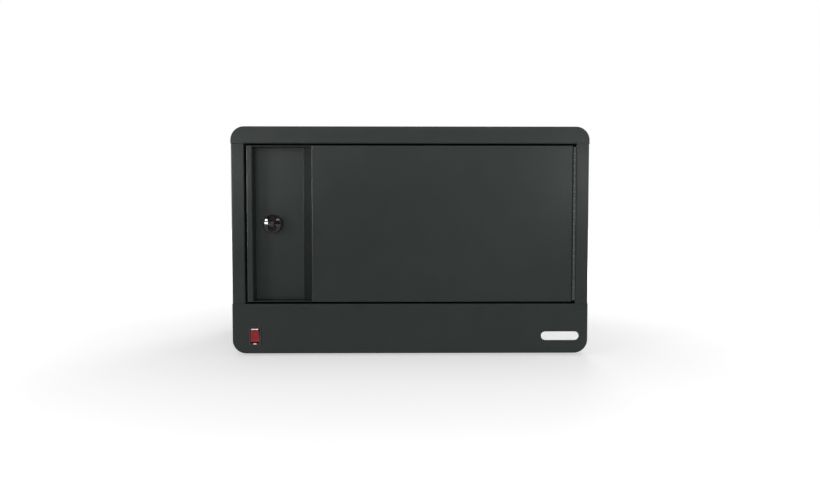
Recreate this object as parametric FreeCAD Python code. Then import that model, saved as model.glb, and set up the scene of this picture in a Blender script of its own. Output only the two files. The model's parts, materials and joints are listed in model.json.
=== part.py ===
import FreeCAD
import Part
import math
import os

# Table-top charging station: a lockable steel cabinet that stores and charges twelve tablets.
# A base tray and a top cover with rounded corners wrap two side panels and a back panel.
# The bent steel door hangs on a continuous hinge at the right of the opening, and steps back
# near its free edge into a full-height recess that shelters the locking knob.
# Sizes are in millimetres, with +X to the right, +Y to the back and +Z up, seen from the front.
# The origin is under the middle of the case, on the surface that the feet stand on.

Vector = FreeCAD.Vector

# Overall case
case_width = 711.0
case_depth = 420.0
case_height = 452.0
foot_height = 5.0
corner_radius = 27.0

# Sheet steel and small gaps
sheet = 1.5
bend = 1.0
edge_chamfer = 1.2
seam = 0.4
fit_gap = 0.3
overrun = 5.0
near = 0.01

# Flat sides of screws, hinge knuckles and other small rounds
small_sides = 8
barrel_sides = 16

# Front of the case and its flanges
top_rail_height = 34.0
base_height = 100.0
stile_width = 26.3
head_depth = 24.0
sill_depth = 30.0
jamb_depth = 38.0
stop_width = 12.0
rear_flange = 20.0
panel_lap = 6.5
wall_inset = 0.6

# Door
door_gap = 4.0
door_flange = 18.0
lip_width = 12.0
lip_flange = 36.0
recess_depth = 32.0
recess_floor_width = 96.7
recess_slant_width = 21.0
recess_flange = 10.0
liner_sheet = 1.0

# Continuous hinge
knuckle_radius = 2.1
knuckle_length = 12.7
knuckle_gap = 0.3
hinge_leaf = 1.0
hinge_leaf_depth = 13.0
hinge_pin_radius = 1.2
pin_clearance = 0.05
hinge_from_stile = 3.5
hinge_clearance = 0.3
hinge_proud = 0.6

# Lock
lock_from_recess_wall = 37.0
collar_radius = 18.4
collar_height = 4.0
barrel_radius = 9.4
barrel_clearance = 0.2
nut_across_flats = 27.0
nut_height = 5.0
shaft_radius = 6.0
turning_clearance = 0.08
knob_radius = 18.1
knob_skirt = 17.0
knob_front_inset = 3.0
knob_chamfer = 2.0
grip_radius = 16.0
scoop_radius = 14.0
scoop_floor = 7.0
drive_square = 8.0
drive_clearance = 0.1
key_plug_radius = 5.5
key_plug_proud = 0.8
key_plug_depth = 17.0
keyway_width = 1.6
keyway_height = 7.0
keyway_depth = 10.0
cam_thickness = 3.0
cam_hub = 10.0
cam_tip = 7.0
cam_hub_chamfer = 5.0
cam_tip_round = 5.0
cam_bite = 10.0
cam_screw_radius = 2.0
cam_screw_head_radius = 5.5
cam_screw_head = 3.0
cam_screw_length = 9.0
strike_thickness = 2.0
strike_height = 60.0
strike_gap = 0.5
bumper_radius = 4.0
bumper_from_end = 40.0

# Bay shelf, mats, dividers and cable partition
bay_count = 12
shelf_flange = 18.0
shelf_tuck = 15.0
shelf_behind_partition = 18.0
mat_thickness = 2.0
mat_gap = 1.0
divider_thickness = 2.0
divider_height = 200.0
divider_nose = 45.0
divider_from_front = 62.0
divider_from_partition = 8.0
tab_width = 22.0
tab_drop = 4.0
tab_inset = 25.0
tab_clearance = 0.2
partition_from_front = 310.0
partition_head_gap = 1.5
partition_flange = 15.0
partition_leg = 30.0
cable_slot_height = 40.0
trim_wall = 1.5
trim_height = 7.0

# Side vents and rear louvres
vent_length = 56.0
vent_height = 6.0
vent_pitch = 15.0
vent_rows = 5
vent_column_shares = (0.38, 0.86)
vent_drop = 60.0
louvre_length = 170.0
louvre_height = 14.0
louvre_proud = 4.5
louvre_taper = 5.0
louvre_lip = 2.0
louvre_pitch = 30.0
louvre_rows = 6
louvre_column_shares = (-0.25, 0.25)
louvre_drop = 60.0

# Back panel screws
back_screw_rows = 2
back_screw_inset = 11.0
back_screw_end = 34.0
back_screw_radius = 2.0
back_screw_head_radius = 4.0
back_screw_head = 1.4
back_screw_length = 9.0
screw_clearance = 0.1

# Feet and desk bolts
foot_radius = 14.0
foot_from_side = 60.0
foot_from_face = 45.0
desk_bolt_radius = 4.25
desk_bolt_spacing_x = 480.0
desk_bolt_spacing_y = 300.0

# Rocker switch
switch_from_side = 45.2
switch_above_floor = 36.5
bezel_width = 24.5
bezel_height = 37.0
bezel_thickness = 2.0
bezel_radius = 2.5
switch_width = 21.0
switch_height = 33.6
switch_depth = 22.0
cavity_width = 18.4
cavity_height = 31.2
cavity_depth = 14.0
cutout_fit = 0.2
rocker_width = 17.6
rocker_reach = 15.2
rocker_middle = 5.4
rocker_rise = 2.2
rocker_back = 4.0
rocker_heel = 5.0
rocker_pivot_depth = 5.0
rocker_tilt = 10.0
trunnion_radius = 1.5
trunnion_length = 0.9
trunnion_clearance = 0.05
lamp_radius = 1.9
lamp_length = 10.0
terminal_width = 6.3
terminal_thickness = 0.8
terminal_length = 9.0
terminal_pitch = 10.0

# Mains inlet
inlet_from_side = 66.0
inlet_above_floor = 45.0
inlet_flange_width = 50.0
inlet_flange_height = 24.0
inlet_flange_thickness = 2.5
inlet_flange_radius = 3.0
inlet_width = 28.0
inlet_height = 20.4
inlet_depth = 24.0
inlet_chamfer = 4.5
socket_width = 24.4
socket_height = 16.8
socket_depth = 17.0
socket_chamfer = 4.0
pin_width = 2.0
pin_height = 4.0
pin_inset = 3.0
pin_pitch = 7.0
pin_rise = 2.0
inlet_screw_pitch = 40.0
inlet_screw_radius = 1.5
inlet_screw_head_radius = 2.8
inlet_screw_head = 1.0
inlet_screw_length = 8.0

# Outlet strips
strip_length = 600.0
strip_height = 46.0
strip_depth = 30.0
strip_round = 4.0
lower_strip_level = 150.0
upper_strip_level = 230.0
outlet_count = 6
outlet_pitch = 94.0
outlet_size = 34.0
outlet_seat = 9.0
outlet_proud = 1.5
blade_spacing = 12.7
blade_width = 2.0
blade_height = 8.0
blade_rise = 4.0
earth_width = 4.8
earth_drop = 7.0

# Badge
badge_width = 76.0
badge_height = 17.5
badge_thickness = 1.2
badge_from_side = 56.0
badge_above_floor = 35.0

# Levels and planes of the case
x_out = case_width / 2
x_side = x_out - sheet
x_wall = x_out - wall_inset
x_inner = x_side - sheet
x_open = x_out - stile_width
y_front = -case_depth / 2
y_back = case_depth / 2
y_panel_out = y_back - sheet
y_panel_in = y_panel_out - sheet
y_stop = y_front + jamb_depth
z_floor = foot_height
z_floor_in = z_floor + sheet
z_sill = z_floor + base_height
z_top = z_floor + case_height
z_head = z_top - top_rail_height
z_side_low = z_floor + corner_radius + seam
z_side_high = z_top - corner_radius - seam
fold_radius = bend + sheet

# Hinge axis and door outline
hinge_x = x_open - hinge_from_stile
hinge_y = y_front - hinge_proud
door_right = hinge_x - knuckle_radius - hinge_clearance
door_left = door_gap - x_open
door_low = z_sill + door_gap
door_high = z_head - door_gap
recess_left = door_left + lip_width
recess_right = recess_left + recess_floor_width
slant_front = recess_right + recess_slant_width
y_recess = y_front + recess_depth
knuckle_count = int((door_high - door_low) // knuckle_length)
hinge_low = (door_low + door_high - knuckle_count * knuckle_length) / 2
hinge_high = hinge_low + knuckle_count * knuckle_length

# Lock axis and its stations from front to back
lock_x = recess_left + lock_from_recess_wall
lock_z = (door_low + door_high) / 2
y_knob = y_front + knob_front_inset
y_collar = y_recess - collar_height
y_knob_seat = y_collar - fit_gap
y_knob_rim = y_knob_seat - knob_skirt
y_strike = y_stop + sheet
y_cam = y_strike + strike_thickness + strike_gap
y_cam_back = y_cam + cam_thickness
y_barrel_back = y_cam - fit_gap
cam_reach = lock_x + x_open - stop_width + cam_bite

# Shelf, bays and partition
shelf_top = z_sill - sheet
shelf_under = shelf_top - sheet
y_shelf = y_front + sill_depth - shelf_tuck
y_partition = y_front + partition_from_front
y_partition_back = y_partition + sheet
y_divider = y_front + divider_from_front
y_divider_back = y_partition - divider_from_partition
slot_top = shelf_top + cable_slot_height
slot_half = x_inner - partition_leg
bay_pitch = 2 * (x_open - stop_width) / bay_count
divider_places = [bay_pitch * (i + 1 - bay_count / 2) for i in range(bay_count - 1)]
mat_places = [bay_pitch * (i + 1 / 2 - bay_count / 2) for i in range(bay_count)]
tab_places = (y_divider + tab_inset, y_divider_back - tab_inset)
y_strip = y_partition_back + strip_depth

# Switch, inlet, badge, feet and screw places
switch_x = switch_from_side - x_out
switch_z = z_floor + switch_above_floor
y_bezel = y_front - bezel_thickness
y_pivot = y_bezel + rocker_pivot_depth
y_cavity = y_bezel + cavity_depth
y_switch = y_front + switch_depth
inlet_x = inlet_from_side - x_out
inlet_z = z_floor + inlet_above_floor
y_inlet_face = y_back + inlet_flange_thickness
y_socket = y_inlet_face - socket_depth
y_inlet = y_back - inlet_depth
badge_x = x_out - badge_from_side
badge_z = z_floor + badge_above_floor
foot_x = x_out - foot_from_side
foot_y = y_back - foot_from_face
foot_places = [(x, y) for x in (-foot_x, foot_x) for y in (-foot_y, foot_y)]
desk_bolt_places = [(x * desk_bolt_spacing_x / 2, y * desk_bolt_spacing_y / 2)
                    for x in (-1, 1) for y in (-1, 1)]
back_screw_x = x_side - back_screw_inset
back_screw_low = z_sill + back_screw_end
back_screw_pitch = (z_head - back_screw_end - back_screw_low) / (back_screw_rows - 1)
back_screw_places = [(side * back_screw_x, back_screw_low + row * back_screw_pitch)
                     for side in (-1, 1) for row in range(back_screw_rows)]


def in_plan(u, v):
    """A point of a plan outline, which is drawn in X and Y."""
    return Vector(u, v, 0)


def in_front(u, v):
    """A point of a front outline, which is drawn in X and Z."""
    return Vector(u, 0, v)


def in_side(u, v):
    """A point of a side outline, which is drawn in Y and Z."""
    return Vector(0, u, v)


def rounded_corner(before, corner, after, radius):
    """Start, middle and end of the round at a corner. A sharp corner is its own start and end."""
    point = Vector(*corner, 0)
    if radius == 0:
        return [point]
    back = (Vector(*before, 0) - point).normalize()
    ahead = (Vector(*after, 0) - point).normalize()
    half = back.getAngle(ahead) / 2
    inward = (back + ahead).normalize()
    reach = radius / math.tan(half)
    centre = point + inward * (radius / math.sin(half))
    return [point + back * reach, centre - inward * radius, point + ahead * reach]


def outline_face(points, radii, place):
    """Flat face inside a closed outline, with a round of the given radius at each point."""
    count = len(points)
    corners = [rounded_corner(points[i - 1], points[i], points[(i + 1) % count], radii[i])
               for i in range(count)]
    edges = []
    for i, corner in enumerate(corners):
        if len(corner) > 1:
            edges.append(Part.Arc(*[place(p.x, p.y) for p in corner]).toShape())
        start = corner[-1]
        end = corners[(i + 1) % count][0]
        if (end - start).Length > near:
            edges.append(Part.LineSegment(place(start.x, start.y), place(end.x, end.y)).toShape())
    return Part.Face(Part.Wire(edges))


def plan_prism(points, radii, z_range):
    """Solid with the given plan outline between two heights."""
    face = outline_face(points, radii, in_plan)
    face.translate(Vector(0, 0, z_range[0]))
    return face.extrude(Vector(0, 0, z_range[1] - z_range[0]))


def front_prism(points, radii, y_range):
    """Solid with the given front outline between two depths."""
    face = outline_face(points, radii, in_front)
    face.translate(Vector(0, y_range[0], 0))
    return face.extrude(Vector(0, y_range[1] - y_range[0], 0))


def side_prism(points, radii, x_range):
    """Solid with the given side outline between two places along X."""
    face = outline_face(points, radii, in_side)
    face.translate(Vector(x_range[0], 0, 0))
    return face.extrude(Vector(x_range[1] - x_range[0], 0, 0))


def bent_outline(points, inner_radius=bend):
    """Closed outline of a bent sheet. The points run along one face, with the metal to their left."""
    outer_radius = inner_radius + sheet if inner_radius > 0 else 0
    path = [Vector(*point, 0) for point in points]
    headings = [(after - before).normalize() for before, after in zip(path, path[1:])]
    normals = [Vector(-heading.y, heading.x, 0) for heading in headings]
    far = [path[0] + normals[0] * sheet]
    radii = [0]
    far_radii = [0]
    for i in range(1, len(headings)):
        middle = (normals[i - 1] + normals[i]).normalize()
        far.append(path[i] + middle * (sheet / middle.dot(normals[i])))
        turns_left = headings[i - 1].cross(headings[i]).z > 0
        radii.append(outer_radius if turns_left else inner_radius)
        far_radii.append(inner_radius if turns_left else outer_radius)
    far.append(path[-1] + normals[-1] * sheet)
    outline = list(points) + [(point.x, point.y) for point in reversed(far)]
    return outline, radii + [0, 0] + far_radii[::-1] + [0]


def rectangle(centre, width, height):
    """The four corners of an outline with the given centre and size."""
    u, v = centre
    return [(u - width / 2, v - height / 2), (u - width / 2, v + height / 2),
            (u + width / 2, v + height / 2), (u + width / 2, v - height / 2)]


def block(x_range, y_range, z_range):
    """Rectangular block between the given limits."""
    size = [high - low for low, high in (x_range, y_range, z_range)]
    return Part.makeBox(*size, Vector(x_range[0], y_range[0], z_range[0]))


def rod(radius, start, end):
    """Round bar between two points."""
    along = Vector(*end) - Vector(*start)
    return Part.makeCylinder(radius, along.Length, Vector(*start), along)


def faceted_bar(radius, start, end, sides=small_sides):
    """Small bar with flat sides that lies inside the round bar of the given radius."""
    along = Vector(*end) - Vector(*start)
    turns = [2 * math.pi * i / sides for i in range(sides + 1)]
    ring = [Vector(radius * math.cos(turn), radius * math.sin(turn), 0) for turn in turns]
    bar = Part.Face(Part.makePolygon(ring)).extrude(Vector(0, 0, along.Length))
    bar.Placement = FreeCAD.Placement(Vector(*start), FreeCAD.Rotation(Vector(0, 0, 1), along))
    return bar


def faceted_hole(radius, start, end, sides=small_sides):
    """Small hole with flat sides that clears the round bar of the given radius."""
    return faceted_bar(radius / math.cos(math.pi / sides), start, end, sides)


def span(centre, size):
    """The two limits of a size about its centre."""
    return (centre - size / 2, centre + size / 2)


def edges_at_depth(shape, y, keep):
    """Edges of a shape that lie at one depth and whose centre passes a test."""
    found = []
    for edge in shape.Edges:
        points = [vertex.Point for vertex in edge.Vertexes] + [edge.CenterOfMass]
        if all(abs(point.y - y) < near for point in points) and keep(edge.CenterOfMass):
            found.append(edge)
    return found


def mirrored(shape):
    """The same piece for the other side of the case."""
    return shape.mirror(Vector(0, 0, 0), Vector(1, 0, 0))


def rounded_tray(z_open, z_closed):
    """Sheet steel tray with rounded corners, open at one level and closed at the other."""
    toward = 1 if z_closed > z_open else -1
    outer = [(-x_out, z_open), (-x_out, z_closed), (x_out, z_closed), (x_out, z_open)]
    tray = front_prism(outer, (0, corner_radius, corner_radius, 0), (y_front, y_back))
    for y in (y_front, y_back):
        rim = edges_at_depth(tray, y, lambda centre: abs(centre.z - z_open) > near)
        tray = tray.makeChamfer(edge_chamfer, rim)
    z_past = z_open - toward * overrun
    z_inside = z_closed - toward * sheet
    inner = [(-x_side, z_past), (-x_side, z_inside), (x_side, z_inside), (x_side, z_past)]
    inner_radius = corner_radius - sheet
    hollow = front_prism(inner, (0, inner_radius, inner_radius, 0), (y_front + sheet, y_back - sheet))
    return tray.cut(hollow)


def with_front_fold(tray, z_edge, toward, depth):
    """Tray whose front plate turns back along the door opening."""
    z_join = z_edge + toward * 2 * fold_radius
    strip = block((-x_open, x_open), (y_front - overrun, y_front + sheet),
                  sorted((z_edge - toward * overrun, z_join)))
    points = [(y_front, z_join), (y_front, z_edge), (y_front + depth, z_edge)][::toward]
    fold = side_prism(*bent_outline(points), (-x_open, x_open))
    return tray.cut(strip).fuse(fold).removeSplitter()


def top_cover():
    """Top of the case, with front and rear rails and the head of the door opening."""
    return with_front_fold(rounded_tray(z_head, z_top), z_head, 1, head_depth)


def base_shell():
    """Bottom of the case: floor, skirts, front fascia with its sill, and rear wall."""
    base = with_front_fold(rounded_tray(z_sill, z_floor), z_sill, -1, sill_depth)
    through_floor = (z_floor - overrun, z_floor_in + overrun)
    through_rear = (y_back - sheet - overrun, y_back + overrun)
    through_front = (y_front - overrun, y_front + sheet + overrun)
    cuts = [block(span(switch_x, switch_width + 2 * cutout_fit), through_front,
                  span(switch_z, switch_height + 2 * cutout_fit)),
            block(span(inlet_x, inlet_width + 2 * cutout_fit), through_rear,
                  span(inlet_z, inlet_height + 2 * cutout_fit))]
    for side in (-1, 1):
        x = inlet_x + side * inlet_screw_pitch / 2
        cuts.append(faceted_hole(inlet_screw_radius + screw_clearance, (x, through_rear[0], inlet_z),
                                 (x, through_rear[1], inlet_z)))
    for x, y in desk_bolt_places:
        cuts.append(rod(desk_bolt_radius, (x, y, through_floor[0]), (x, y, through_floor[1])))
    return base.cut(cuts)


def left_side_panel():
    """Side wall with its rear flange, stile, jamb and stop flange, joggled to lap inside the skirts."""
    z_frame = (z_sill + seam, z_head - seam)
    frame = [(-x_wall, y_panel_in), (-x_wall, y_front), (-x_open, y_front), (-x_open, y_stop)]
    panel = plan_prism(*bent_outline(frame), z_frame)
    folds = [block((-x_side, -x_inner), (y_front + sheet + seam, y_panel_in), z_range)
             for z_range in ((z_side_low, z_frame[0] + sheet), (z_frame[1] - sheet, z_side_high))]
    folds.append(block((-x_side, rear_flange - x_side), (y_panel_in - sheet, y_panel_in),
                       (z_side_low, z_side_high)))
    folds.append(block((-x_open - sheet, stop_width - x_open), (y_stop, y_stop + sheet), z_frame))
    vents = []
    for share in vent_column_shares:
        for row in range(vent_rows):
            centre = (y_front + share * case_depth, z_head - vent_drop - row * vent_pitch)
            vents.append(block((-x_side - overrun, -x_inner + overrun), span(centre[0], vent_length),
                               span(centre[1], vent_height)))
    screw_holes = [faceted_hole(back_screw_radius + screw_clearance, (x, y_panel_in - sheet - overrun, z),
                                (x, y_panel_out, z)) for x, z in back_screw_places if x < 0]
    return panel.fuse(folds).cut(vents + screw_holes).removeSplitter()


def back_panel():
    """Flat back with pressed louvres that open downwards."""
    panel = block((-x_side, x_side), (y_panel_in, y_panel_out), (z_sill - panel_lap, z_head + panel_lap))
    hoods = []
    cuts = []
    half = louvre_length / 2
    for share in louvre_column_shares:
        for row in range(louvre_rows):
            x = share * case_width
            z = z_head - louvre_drop - row * louvre_pitch
            hoods.append(Part.makeWedge(x - half, y_panel_out, z, z, x - half + louvre_taper,
                                        x + half, y_panel_out + louvre_proud, z + louvre_height,
                                        z + louvre_lip, x + half - louvre_taper))
            inside = half - sheet
            cuts.append(Part.makeWedge(x - inside, y_panel_out, z - overrun, z - overrun,
                                       x - inside + louvre_taper, x + inside,
                                       y_panel_out + louvre_proud - sheet, z + louvre_height - sheet,
                                       z + louvre_lip, x + inside - louvre_taper))
            cuts.append(block(span(x, 2 * inside), (y_panel_in - overrun, y_panel_out),
                              (z, z + louvre_height - sheet)))
    for x, z in back_screw_places:
        cuts.append(faceted_hole(back_screw_radius + screw_clearance, (x, y_panel_in - overrun, z),
                                 (x, y_panel_out + overrun, z)))
    return panel.fuse(hoods).cut(cuts)


def screw(seat, outward, radius, length, head_radius, head_height):
    """Screw whose head stands outward from its seat."""
    seat = Vector(*seat)
    head = faceted_bar(head_radius, seat, seat + outward * head_height)
    return head.fuse(faceted_bar(radius, seat, seat - outward * length))


def back_panel_screws():
    """Screws that hold the back panel to the side panels."""
    return Part.makeCompound([screw((x, y_panel_out, z), Vector(0, 1, 0), back_screw_radius,
                                    back_screw_length, back_screw_head_radius, back_screw_head)
                              for x, z in back_screw_places])


def bay_shelf():
    """Floor of the bays, turned down at both sides and slotted for the divider tabs."""
    low = shelf_top - shelf_flange
    points = [(x_inner, low), (x_inner, shelf_top), (-x_inner, shelf_top), (-x_inner, low)]
    shelf = front_prism(*bent_outline(points, 0), (y_shelf, y_partition_back + shelf_behind_partition))
    slots = [block(span(x, divider_thickness + 2 * tab_clearance), span(y, tab_width + 2 * tab_clearance),
                   (shelf_under - overrun, shelf_top + overrun))
             for x in divider_places for y in tab_places]
    return shelf.cut(slots)


def bay_mats():
    """Rubber strip in each bay."""
    width = bay_pitch - divider_thickness - 2 * mat_gap
    z_range = (shelf_top, shelf_top + mat_thickness)
    return Part.makeCompound([block(span(x, width), (y_divider, y_divider_back), z_range)
                              for x in mat_places])


def divider(x):
    """Upright plate with its upper front corner cut back, and with two tabs below."""
    z_high = shelf_top + divider_height
    points = [(y_divider, shelf_top), (y_divider, z_high - divider_nose), (y_divider + divider_nose, z_high),
              (y_divider_back, z_high), (y_divider_back, shelf_top)]
    for y in reversed(tab_places):
        front, back = span(y, tab_width)
        points += [(back, shelf_top), (back, shelf_top - tab_drop),
                   (front, shelf_top - tab_drop), (front, shelf_top)]
    return side_prism(points, [0] * len(points), span(x, divider_thickness))


def cable_partition():
    """Plate between bays and chargers. It stands on the shelf on two legs beside the cable slot."""
    y_end = y_partition + partition_flange
    points = [(-x_inner, y_end), (-x_inner, y_partition), (x_inner, y_partition), (x_inner, y_end)]
    plate = plan_prism(*bent_outline(points, 0), (shelf_top, z_head - partition_head_gap))
    slot = block((-slot_half, slot_half), (y_partition - overrun, y_partition_back + overrun),
                 (shelf_top - overrun, slot_top))
    return plate.cut(slot)


def cable_slot_trim():
    """Rubber channel pushed onto the upper edge of the cable slot."""
    y_range = (y_partition - trim_wall, y_partition_back + trim_wall)
    half = slot_half - fit_gap
    channel = block((-half, half), y_range, (slot_top - trim_wall, slot_top - trim_wall + trim_height))
    groove = block((-half - overrun, half + overrun), (y_partition, y_partition_back),
                   (slot_top, slot_top + trim_height + overrun))
    return channel.cut(groove)


def outlet_places(level):
    """Centres of the outlets of one strip."""
    return [((i + 1 / 2 - outlet_count / 2) * outlet_pitch, z_sill + level) for i in range(outlet_count)]


def outlet_strip(level):
    """Housing of one row of outlets, screwed flat to the back of the partition."""
    z_low, z_high = span(z_sill + level, strip_height)
    points = [(y_partition_back, z_low), (y_partition_back, z_high), (y_strip, z_high), (y_strip, z_low)]
    housing = side_prism(points, (0, 0, strip_round, strip_round), span(0, strip_length))
    pockets = [block(span(x, outlet_size), (y_strip - outlet_seat, y_strip + overrun), span(z, outlet_size))
               for x, z in outlet_places(level)]
    return housing.cut(pockets)


def outlet_faces(level):
    """Outlet inserts of one strip, each with two blade slots and a square earth hole."""
    y_range = (y_strip - outlet_seat, y_strip + outlet_proud)
    through = (y_range[0] - overrun, y_range[1] + overrun)
    faces = []
    for x, z in outlet_places(level):
        face = block(span(x, outlet_size), y_range, span(z, outlet_size))
        holes = [block(span(x + side * blade_spacing / 2, blade_width), through,
                       span(z + blade_rise, blade_height)) for side in (-1, 1)]
        holes.append(block(span(x, earth_width), through, span(z - earth_drop, earth_width)))
        faces.append(face.cut(holes))
    return Part.makeCompound(faces)


def chamfered(width, height, chamfer):
    """Outline of the inlet or its socket, with its two upper corners cut off."""
    left, right = span(inlet_x, width)
    low, high = span(inlet_z, height)
    return [(left, low), (left, high - chamfer), (left + chamfer, high), (right - chamfer, high),
            (right, high - chamfer), (right, low)]


def inlet_pin_places():
    """Centres of the inlet's three pins. The middle one, for earth, stands higher."""
    return [(inlet_x - pin_pitch, inlet_z - pin_rise), (inlet_x, inlet_z + pin_rise),
            (inlet_x + pin_pitch, inlet_z - pin_rise)]


def power_inlet():
    """Mains inlet in the rear wall: flange, body, socket and pin passages."""
    flange_outline = rectangle((inlet_x, inlet_z), inlet_flange_width, inlet_flange_height)
    flange = front_prism(flange_outline, [inlet_flange_radius] * 4, (y_back, y_inlet_face))
    body_outline = chamfered(inlet_width, inlet_height, inlet_chamfer)
    body = front_prism(body_outline, [0] * len(body_outline), (y_inlet, y_back))
    socket_outline = chamfered(socket_width, socket_height, socket_chamfer)
    cuts = [front_prism(socket_outline, [0] * len(socket_outline), (y_socket, y_inlet_face + overrun))]
    for x, z in inlet_pin_places():
        cuts.append(block(span(x, pin_width), (y_inlet - overrun, y_socket), span(z, pin_height)))
    for side in (-1, 1):
        x = inlet_x + side * inlet_screw_pitch / 2
        cuts.append(faceted_hole(inlet_screw_radius + screw_clearance, (x, y_back - overrun, inlet_z),
                                 (x, y_inlet_face + overrun, inlet_z)))
    return flange.fuse(body).cut(cuts).removeSplitter()


def inlet_pins():
    """Inlet blades that pass through the body and end in terminals."""
    y_range = (y_inlet - terminal_length, y_inlet_face - pin_inset)
    return Part.makeCompound([block(span(x, pin_width), y_range, span(z, pin_height))
                              for x, z in inlet_pin_places()])


def inlet_screws():
    """Two small screws through the inlet's flange."""
    return Part.makeCompound([screw((inlet_x + side * inlet_screw_pitch / 2, y_inlet_face, inlet_z),
                                    Vector(0, 1, 0), inlet_screw_radius, inlet_screw_length,
                                    inlet_screw_head_radius, inlet_screw_head) for side in (-1, 1)])


def switch_housing():
    """Snap-in housing of the mains switch: bezel, body, cavity and trunnion sockets."""
    centre = (switch_x, switch_z)
    bezel = front_prism(rectangle(centre, bezel_width, bezel_height), [bezel_radius] * 4, (y_bezel, y_front))
    body = block(span(switch_x, switch_width), (y_front, y_switch), span(switch_z, switch_height))
    cavity = block(span(switch_x, cavity_width), (y_bezel - overrun, y_cavity), span(switch_z, cavity_height))
    half = cavity_width / 2 + trunnion_length + trunnion_clearance
    sockets = faceted_hole(trunnion_radius + trunnion_clearance, (switch_x - half, y_pivot, switch_z),
                           (switch_x + half, y_pivot, switch_z))
    return bezel.fuse(body).cut([cavity, sockets]).removeSplitter()


def rocker():
    """Rocker with a shallow V front and round ends, at rest with its lower end pressed in."""
    y_end = rocker_middle + rocker_rise
    points = [(-rocker_middle, 0), (-y_end, rocker_reach), (0, rocker_reach), (rocker_back, rocker_heel),
              (rocker_back, -rocker_heel), (0, -rocker_reach), (-y_end, -rocker_reach)]
    half = rocker_width / 2
    wedge = side_prism(points, [0] * len(points), (-half, half))
    ends = rod(rocker_reach, (-half, 0, 0), (half, 0, 0))
    axle_half = cavity_width / 2 + trunnion_length
    axle = faceted_bar(trunnion_radius, (-axle_half, 0, 0), (axle_half, 0, 0))
    shape = wedge.common(ends).fuse(axle)
    shape.rotate(Vector(0, 0, 0), Vector(1, 0, 0), rocker_tilt)
    shape.translate(Vector(switch_x, y_pivot, switch_z))
    return shape


def switch_lamp():
    """Small lamp that lies on the floor of the switch's cavity and lights the rocker."""
    y = y_cavity - lamp_radius
    return faceted_bar(lamp_radius, (switch_x - lamp_length / 2, y, switch_z),
                       (switch_x + lamp_length / 2, y, switch_z))


def switch_terminals():
    """Three blade terminals behind the switch."""
    return Part.makeCompound([block(span(switch_x, terminal_width), (y_switch, y_switch + terminal_length),
                                    span(switch_z + row * terminal_pitch, terminal_thickness))
                              for row in (-1, 0, 1)])


def badge_plate():
    """Bare plate with round ends, stuck to the fascia."""
    outline = rectangle((badge_x, badge_z), badge_width, badge_height)
    return front_prism(outline, [badge_height / 2] * 4, (y_front - badge_thickness, y_front))


def rubber_feet():
    """Round rubber feet, stuck under the floor of the case."""
    return Part.makeCompound([rod(foot_radius, (x, y, 0), (x, y, z_floor)) for x, y in foot_places])


def door_panel():
    """Door skin bent from one sheet: free lip, recess with closed ends, slant and hinge return."""
    points = [(door_left, y_front + lip_flange), (door_left, y_front), (recess_left, y_front),
              (recess_left, y_recess), (recess_right, y_recess), (slant_front, y_front),
              (door_right, y_front), (door_right, y_front + door_flange)]
    skin = plan_prism(*bent_outline(points), (door_low, door_high))
    y_end = y_front + fold_radius
    end_right = slant_front - recess_slant_width * fold_radius / recess_depth
    recess_end = [(recess_left - sheet, y_end), (recess_left - sheet, y_recess + sheet),
                  (recess_right, y_recess + sheet), (end_right, y_end)]
    flanges = []
    for z_range in ((door_low, door_low + sheet), (door_high - sheet, door_high)):
        flanges.append(plan_prism(recess_end, [0] * len(recess_end), z_range))
        flanges.append(block((slant_front, door_right - sheet),
                             (y_front + sheet, y_front + door_flange), z_range))
        flanges.append(block((door_left + sheet, recess_left - sheet), (y_front + sheet, y_recess), z_range))
        flanges.append(block((recess_left + fold_radius, recess_right - fold_radius),
                             (y_recess + sheet, y_recess + sheet + recess_flange), z_range))
    hole = rod(barrel_radius + barrel_clearance, (lock_x, y_recess - overrun, lock_z),
               (lock_x, y_recess + sheet + overrun, lock_z))
    return skin.fuse(flanges).cut(hole).removeSplitter()


def door_liner():
    """Flat inner sheet that closes the main part of the door."""
    y_face = y_front + door_flange
    slope = math.hypot(recess_depth, recess_slant_width) / recess_depth
    x_slant = slant_front - recess_slant_width * (door_flange - liner_sheet) / recess_depth
    return block((x_slant + sheet * slope + fit_gap, door_right - sheet), (y_face - liner_sheet, y_face),
                 (door_low + sheet, door_high - sheet))


def hinge_knuckles(first, x_leaf):
    """Every second knuckle of the hinge with its web to the leaf, and the leaf itself."""
    x_range = sorted((x_leaf, x_leaf + hinge_leaf * (1 if x_leaf < hinge_x else -1)))
    x_web = sorted((x_leaf, hinge_x))
    y_web = hinge_y + knuckle_radius - hinge_leaf
    y_leaf = hinge_y + knuckle_radius + knuckle_gap
    half_gap = knuckle_gap / 2
    pieces = []
    for i in range(first, knuckle_count, 2):
        z_low = hinge_low + i * knuckle_length + half_gap
        z_high = z_low + knuckle_length - knuckle_gap
        pieces.append(faceted_bar(knuckle_radius, (hinge_x, hinge_y, z_low), (hinge_x, hinge_y, z_high)))
        pieces.append(block(x_web, (y_web, y_leaf), (z_low, z_high)))
    leaf = block(x_range, (y_leaf, hinge_y + hinge_leaf_depth), (hinge_low, hinge_high))
    bore = faceted_hole(hinge_pin_radius + pin_clearance, (hinge_x, hinge_y, hinge_low - overrun),
                        (hinge_x, hinge_y, hinge_high + overrun))
    return leaf.fuse(pieces).cut(bore).removeSplitter()


def at_lock(y, across=0):
    """A point at a depth beside the lock's axis."""
    return (lock_x + across, y, lock_z)


def lock_barrel():
    """Barrel that carries the knob's shaft, with its collar on the floor of the recess."""
    collar = rod(collar_radius, at_lock(y_recess), at_lock(y_collar))
    bore = rod(shaft_radius + turning_clearance, at_lock(y_collar - overrun),
               at_lock(y_barrel_back + overrun))
    barrel = faceted_bar(barrel_radius, at_lock(y_recess), at_lock(y_barrel_back), barrel_sides)
    return collar.fuse(barrel).cut(bore)


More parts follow.
